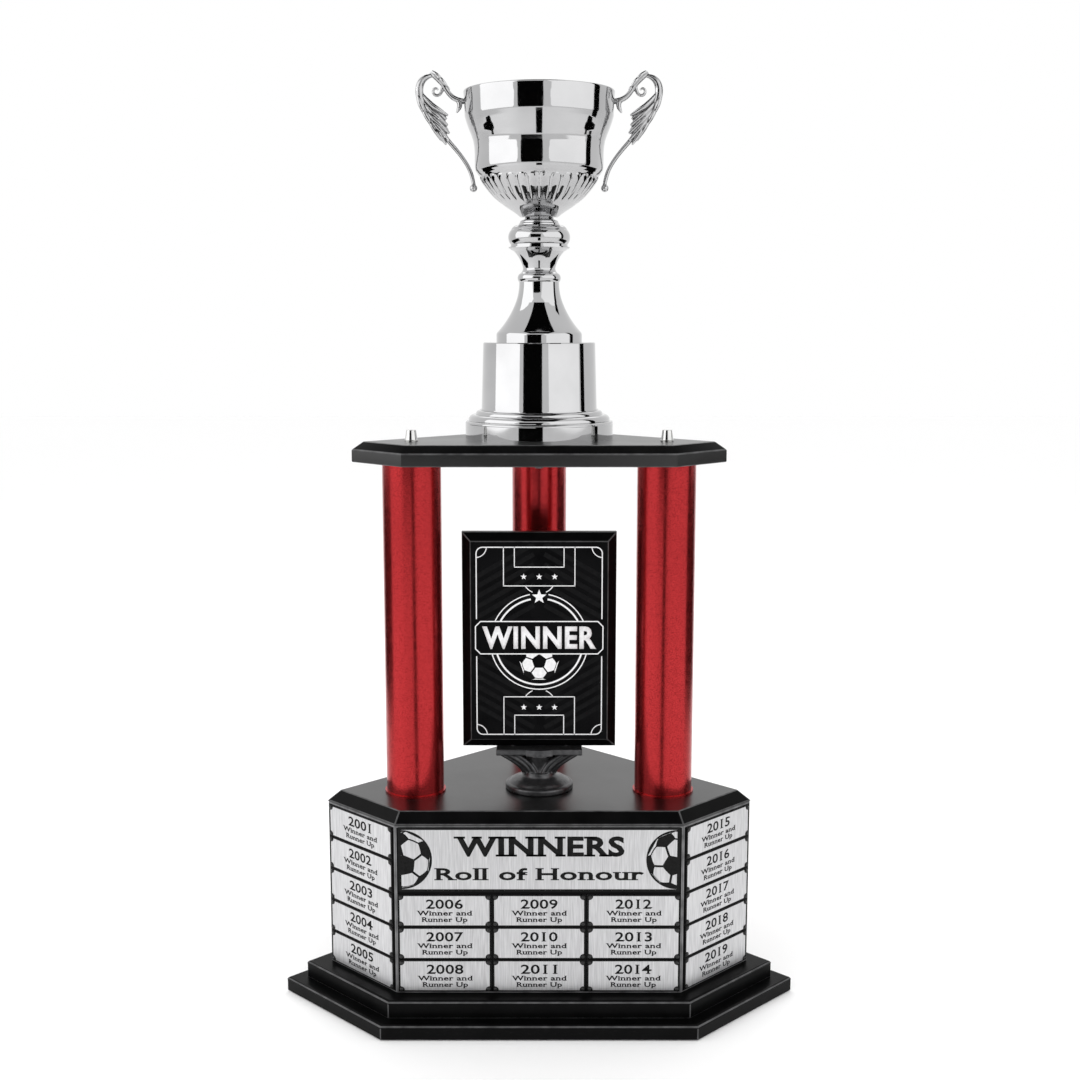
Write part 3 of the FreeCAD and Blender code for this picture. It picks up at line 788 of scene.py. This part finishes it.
inkDepth = 0.06 * mm
starWaist = 0.42  # inner corners of a star, as a share of its radius
ballValues = {"cuts": 4, "horizon": 0.18}  # cuts in a seam, and how far round the ball is drawn
letterValues = {
    "spacing": 2.4,  # room between letters, in thickenings
    "curveSteps": 3,
    "weld": 0.0005,
    "level": 0.004,  # slabs stand on stroke ends this level
    "stroke": (0.07, 0.26),  # and this wide
}


def addBar(mesh, x, y, width, height, turn=0.0):
    made = bmesh.ops.create_grid(mesh, x_segments=1, y_segments=1, size=0.5)["verts"]
    bmesh.ops.scale(mesh, vec=(width * mm, height * mm, 1), verts=made)
    bmesh.ops.rotate(mesh, matrix=Matrix.Rotation(math.radians(turn), 3, "Z"), verts=made)
    bmesh.ops.translate(mesh, vec=(x * mm, y * mm, 0), verts=made)


def addShape(mesh, corners):
    return mesh.faces.new([mesh.verts.new((x * mm, y * mm, 0)) for x, y in corners])


def addOutline(mesh, corners, line):
    face = addShape(mesh, corners)
    face.normal_update()
    bmesh.ops.inset_region(mesh, faces=[face], thickness=line * mm, use_even_offset=True, use_boundary=True)
    bmesh.ops.delete(mesh, geom=[face], context="FACES_ONLY")


def addDisc(mesh, x, y, radius, sides):
    made = bmesh.ops.create_circle(mesh, cap_ends=True, segments=sides, radius=radius * mm)["verts"]
    bmesh.ops.translate(mesh, vec=(x * mm, y * mm, 0), verts=made)


def addArc(mesh, x, y, radius, line, start, stop, steps):
    turn = math.radians(start)
    ends = [mesh.verts.new(((x + math.cos(turn) * reach) * mm, (y + math.sin(turn) * reach) * mm, 0))
            for reach in (radius - line / 2, radius + line / 2)]
    run = mesh.edges.new(ends)
    bmesh.ops.spin(mesh, geom=ends + [run], cent=(x * mm, y * mm, 0), axis=(0, 0, 1),
                   angle=math.radians(stop - start), steps=steps, use_merge=False)


def addStar(mesh, x, y, radius):
    corners = []
    for point in range(10):
        reach = radius if point % 2 == 0 else radius * starWaist
        turn = math.radians(90 + 36 * point)
        corners.append((x + reach * math.cos(turn), y + reach * math.sin(turn)))
    addShape(mesh, corners)


def appendMesh(mesh, other):
    data = meshData(other, "part")
    mesh.from_mesh(data)
    bpy.data.meshes.remove(data)


def addBall(mesh, x, y, radius, seam, tilt, keepFrom=-1e3, keepTo=1e3):
    # the hexagons of a stitched ball, seen square on; pentagons and seams stay open
    ball = bmesh.new()
    bmesh.ops.create_icosphere(ball, subdivisions=1, radius=1)
    bmesh.ops.bevel(ball, geom=ball.verts, offset=100 / 3, offset_type="PERCENT", segments=1, profile=0.5,
                    affect="VERTICES", material=-1)
    bmesh.ops.delete(ball, geom=[face for face in ball.faces if len(face.verts) == 5], context="FACES")
    rims = bmesh.ops.inset_individual(ball, faces=ball.faces, thickness=seam, use_even_offset=True)["faces"]
    bmesh.ops.delete(ball, geom=rims, context="FACES")
    bmesh.ops.subdivide_edges(ball, edges=ball.edges, cuts=ballValues["cuts"], use_grid_fill=False)
    for point in ball.verts:
        point.co.normalize()
    for degrees, axis in zip(tilt, "XZ"):
        bmesh.ops.rotate(ball, matrix=Matrix.Rotation(math.radians(degrees), 3, axis), verts=ball.verts)
    bmesh.ops.bisect_plane(ball, geom=allOf(ball), plane_co=(0, 0, ballValues["horizon"]),
                           plane_no=(0, 0, 1), clear_inner=True)
    bmesh.ops.scale(ball, vec=(radius * mm, radius * mm, 0), verts=ball.verts)
    bmesh.ops.translate(ball, vec=(x * mm, y * mm, 0), verts=ball.verts)
    for edgeX, side in ((keepFrom, 1), (keepTo, -1)):
        bmesh.ops.bisect_plane(ball, geom=allOf(ball), plane_co=(edgeX * mm, 0, 0), plane_no=(side, 0, 0),
                               clear_inner=True)
    appendMesh(mesh, ball)


def addSlabs(letters, slab):
    # serifs on the ends of upright strokes
    thin, thick = letterValues["stroke"]
    feet = []
    for edge in letters.edges:
        one, two = (point.co for point in edge.verts)
        width = abs(one.x - two.x)
        level = abs(one.y - two.y) < letterValues["level"]
        if len(edge.link_faces) == 1 and level and thin < width < thick:
            up = 1 if edge.link_faces[0].calc_center_median().y > one.y else -1
            feet.append(((one.x + two.x) / 2, one.y + up * slab / 2, width + 2 * slab))
    for x, y, width in feet:
        foot = bmesh.ops.create_grid(letters, x_segments=1, y_segments=1, size=0.5)["verts"]
        bmesh.ops.scale(letters, vec=(width, slab, 1), verts=foot)
        bmesh.ops.translate(letters, vec=(x, y, 0), verts=foot)


def addWord(mesh, text, y, width, height, weight, slab=0.0):
    # lettering fitted to a width and a height, centred on the plate
    data = bpy.data.curves.new("word", "FONT")
    data.body = text
    data.size = 1.0
    data.offset = weight
    data.space_character = 1.0 + letterValues["spacing"] * weight
    data.resolution_u = letterValues["curveSteps"]
    letters = bmesh.new()
    letters.from_mesh(bakedMesh(bpy.data.objects.new("word", data)))
    bmesh.ops.remove_doubles(letters, verts=letters.verts, dist=letterValues["weld"])
    if slab:
        addSlabs(letters, slab)
    lowX, highX = (pick(point.co.x for point in letters.verts) for pick in (min, max))
    lowY, highY = (pick(point.co.y for point in letters.verts) for pick in (min, max))
    bmesh.ops.translate(letters, vec=(-(lowX + highX) / 2, -(lowY + highY) / 2, 0), verts=letters.verts)
    bmesh.ops.scale(letters, vec=(width * mm / (highX - lowX), height * mm / (highY - lowY), 1),
                    verts=letters.verts)
    bmesh.ops.translate(letters, vec=(0, y * mm, 0), verts=letters.verts)
    appendMesh(mesh, letters)


def finishArt(name, mesh, face, lift, depth, material, slotName):
    # flat faces become a thin solid standing on the plate they are printed on
    bmesh.ops.recalc_face_normals(mesh, faces=mesh.faces)
    bmesh.ops.reverse_faces(mesh, faces=[part for part in mesh.faces if part.normal.z < 0])
    raised = bmesh.ops.extrude_face_region(mesh, geom=mesh.faces[:], use_keep_orig=True)["geom"]
    bmesh.ops.translate(mesh, vec=(0, 0, depth), verts=cornersIn(raised))
    bmesh.ops.recalc_face_normals(mesh, faces=mesh.faces)
    bmesh.ops.translate(mesh, vec=(0, 0, lift), verts=mesh.verts)
    bmesh.ops.transform(mesh, matrix=face, verts=mesh.verts)
    finishPiece(name, mesh, material, slotName)


def plateFace(name, heading):
    # a plane on the plate's outer face: x runs to the reader's right, y up, z out of the plate
    upward = Vector((0, 0, 1))
    outward = Vector((math.sin(math.radians(heading)), -math.cos(math.radians(heading)), 0))
    centre = middleOf(name)
    reach = max((point.co - centre).dot(outward) for point in cadNodes[name].data.vertices)
    turn = Matrix((upward.cross(outward), upward, outward)).transposed().to_4x4()
    return Matrix.Translation(centre + outward * reach) @ turn


plateValues = {
    "year": {
        "field": (64.5, 22.0), "sideField": (70.4, 22.0),
        "notch": {"offset": 3.0, "segments": 6, "profile": 0.08},  # scooped corners around the pins
        # how far up, width, height, thickening and serif
        "figures": (5.0, 26.5, 7.2, 0.016, 0.055),
        "lines": [("Winner and", -1.8, 40.0, 3.7, 0.024, 0.055),
                  ("Runner Up", -7.2, 33.0, 4.7, 0.024, 0.055)],
    },
    "header": {
        "field": (197.0, 44.2),
        "lines": [("WINNERS", 9.8, 122.0, 15.2, 0.034, 0.075),
                  ("Roll of Honour", -10.8, 150.0, 9.2, 0.022, 0.06)],
        "ball": 21.4, "seam": 0.035, "tilt": (14, 30),
        "outline": (22.0, 72),  # radius and sides of the black disc behind a ball
    },
    "sides": {"left": (range(1, 6), -45), "front": (range(6, 15), 0), "right": (range(15, 20), 45)},
    "fieldDepth": 0.12,
    "firstYear": 2001,
}


def addField(mesh, width, height, notch):
    face = addShape(mesh, [(-width / 2, -height / 2), (width / 2, -height / 2), (width / 2, height / 2),
                           (-width / 2, height / 2)])
    if notch:
        bmesh.ops.bevel(mesh, geom=face.verts[:], offset=notch["offset"] * mm, segments=notch["segments"],
                        profile=notch["profile"], affect="VERTICES", material=-1)


def buildYearPlate(number, heading):
    values = plateValues["year"]
    depth = plateValues["fieldDepth"] * mm
    plate = "year_plate_%02d" % number
    face = plateFace(plate, heading)
    field = bmesh.new()
    addField(field, *(values["sideField"] if heading else values["field"]), values["notch"])
    finishArt(plate + "_field", field, face, 0, depth, "silver", "plate_silver")
    ink = bmesh.new()
    addWord(ink, str(plateValues["firstYear"] + number - 1), *values["figures"])
    for line in values["lines"]:
        addWord(ink, *line)
    finishArt(plate + "_ink", ink, face, depth, inkDepth, "ink", "pin_black")


def buildYearPlates():
    for numbers, heading in plateValues["sides"].values():
        for number in numbers:
            buildYearPlate(number, heading)


def buildHeader():
    values = plateValues["header"]
    depth = plateValues["fieldDepth"] * mm
    face = plateFace("header_plate", 0)
    width, height = values["field"]
    field = bmesh.new()
    addField(field, width, height, None)
    finishArt("header_field", field, face, 0, depth, "silver", "plate_silver")
    ink = bmesh.new()
    for line in values["lines"]:
        addWord(ink, *line)
    for side in (-1, 1):
        disc = bmesh.new()
        addDisc(disc, side * width / 2, 0, *values["outline"])
        bmesh.ops.bisect_plane(disc, geom=allOf(disc), plane_co=(side * width / 2 * mm, 0, 0),
                               plane_no=(side, 0, 0), clear_outer=True)
        appendMesh(ink, disc)
    finishArt("header_ink", ink, face, depth, inkDepth, "ink", "pin_black")
    patches = bmesh.new()
    back, turn = values["tilt"]
    addBall(patches, -width / 2, 0, values["ball"], values["seam"], (back, turn), keepFrom=-width / 2)
    addBall(patches, width / 2, 0, values["ball"], values["seam"], (back, -turn), keepTo=width / 2)
    finishArt("header_balls", patches, face, depth + inkDepth, inkDepth, "silver", "plate_silver")


buildYearPlates()
buildHeader()
print("plates lettered")

# plaque face

plaqueValues = {
    "border": (46.6, 70.9, 5.0, 0.8),  # half width, half height, corner radius, line
    "gap": (17.0, -11.0),  # where the side lines stop for the band
    "line": 0.65,  # of the pitch markings
    "cornerMark": (8.0, 186, 264),  # radius, then from and to in degrees
    "boxes": [(26.2, 29.1), (18.2, 15.1)],  # half width and depth
    "boxArc": (6.5, 12.2, (24, 57)),  # centre inside the box, radius, degrees from the middle
    "boxStars": (11.4, (22.3, 21.1), 2.4),  # spacing, distance from the top and from the bottom, radius
    "arcSteps": 8,
    "circles": [(36.0, 0.8), (32.4, 1.3)],  # radius and line of the centre circles
    "circleGap": 11.0,  # degrees kept open each side of the big star
    "circleSteps": 72,
    "star": (0, 33.6, 5.6),
    "band": [(-47.4, 11.6), (-43.4, 15.6), (43.4, 15.6), (47.4, 11.6), (47.4, -5.6), (43.4, -9.6),
             (-43.4, -9.6), (-47.4, -5.6)],
    "bandLine": 0.8,
    "word": ("WINNER", 3.0, 84.0, 17.0, 0.036),  # how far up, width, height, thickening
    "ball": (0, -15.0, 15.0, 0.03, (0, 18)),  # place, radius, seam, tilt
    "stripe": {"size": (48.0, 3.4), "count": 7, "spacing": 7.6, "start": (24.6, 61.0), "slope": 30},
    "stripeField": (49.2, 73.2),  # half width and half height
    "layer": 0.05,
}


def drawBorder(art):
    values = plaqueValues
    halfX, halfY, corner, line = values["border"]
    gapTop, gapLow = values["gap"]
    upper = halfY - corner - gapTop
    lower = halfY - corner + gapLow
    for side in (-1, 1):
        addBar(art, side * (halfX - line / 2), gapTop + upper / 2, line, upper)
        addBar(art, side * (halfX - line / 2), gapLow - lower / 2, line, lower)
        addBar(art, 0, side * (halfY - line / 2), 2 * (halfX - corner), line)
    radius, first, last = values["cornerMark"]
    for sideX, sideY, start in ((1, 1, 0), (-1, 1, 90), (-1, -1, 180), (1, -1, 270)):
        addArc(art, sideX * (halfX - corner), sideY * (halfY - corner), corner - line / 2, line,
               start, start + 90, values["arcSteps"])
        addArc(art, sideX * halfX, sideY * halfY, radius, values["line"], start + first, start + last,
               values["arcSteps"])


def drawBox(art, sideY):
    values = plaqueValues
    halfY, thin = values["border"][1], values["line"]
    for half, tall in values["boxes"]:
        for side in (-1, 1):
            addBar(art, side * half, sideY * (halfY - tall / 2), thin, tall)
        addBar(art, 0, sideY * (halfY - tall), 2 * half + thin, thin)
    apart, fromEdge, size = values["boxStars"]
    for place in (-1, 0, 1):
        addStar(art, place * apart, sideY * (halfY - fromEdge[0 if sideY > 0 else 1]), size)
    inside, radius, (near, far) = values["boxArc"]
    centre = sideY * (halfY - values["boxes"][0][1] + inside)
    middle = -90 * sideY
    for start, stop in ((-far, -near), (near, far)):
        addArc(art, 0, centre, radius, thin, middle + start, middle + stop, values["arcSteps"])


def drawStripes():
    values = plaqueValues["stripe"]
    stripes = bmesh.new()
    startX, startY = values["start"]
    for sideY in (-1, 1):
        for number in range(values["count"]):
            for side in (-1, 1):
                addBar(stripes, side * startX, sideY * (startY - values["spacing"] * number),
                       *values["size"], -side * sideY * values["slope"])
    halfX, halfY = plaqueValues["stripeField"]
    for normal, reach in (((1, 0, 0), halfX), ((-1, 0, 0), halfX), ((0, 1, 0), halfY), ((0, -1, 0), halfY)):
        bmesh.ops.bisect_plane(stripes, geom=allOf(stripes), plane_co=Vector(normal) * reach * mm,
                               plane_no=normal, clear_outer=True)
    return stripes


def buildPlaque():
    values = plaqueValues
    face = plateFace("plaque_face", 0)
    layer = values["layer"] * mm
    art = bmesh.new()
    drawBorder(art)
    for sideY in (-1, 1):
        drawBox(art, sideY)
    addStar(art, *values["star"])
    gap = values["circleGap"]
    for radius, line in values["circles"]:  # the big star stands in a gap at the top
        addArc(art, 0, 0, radius, line, 90 + gap, 450 - gap, values["circleSteps"])
    finishArt("plaque_lines", art, face, 2 * layer, layer, "white", "face_black")
    finishArt("plaque_stripes", drawStripes(), face, 0, layer, "shade", "face_black")
    band = bmesh.new()
    addShape(band, values["band"])
    finishArt("plaque_band", band, face, 2 * layer, 2 * layer, "face", "face_black")
    word = bmesh.new()
    addOutline(word, values["band"], values["bandLine"])
    addWord(word, *values["word"])
    finishArt("plaque_word", word, face, 4 * layer, layer, "white", "face_black")
    ball = bmesh.new()
    addBall(ball, *values["ball"])
    finishArt("plaque_ball", ball, face, 2 * layer, layer, "white", "face_black")


buildPlaque()
print("plaque drawn")
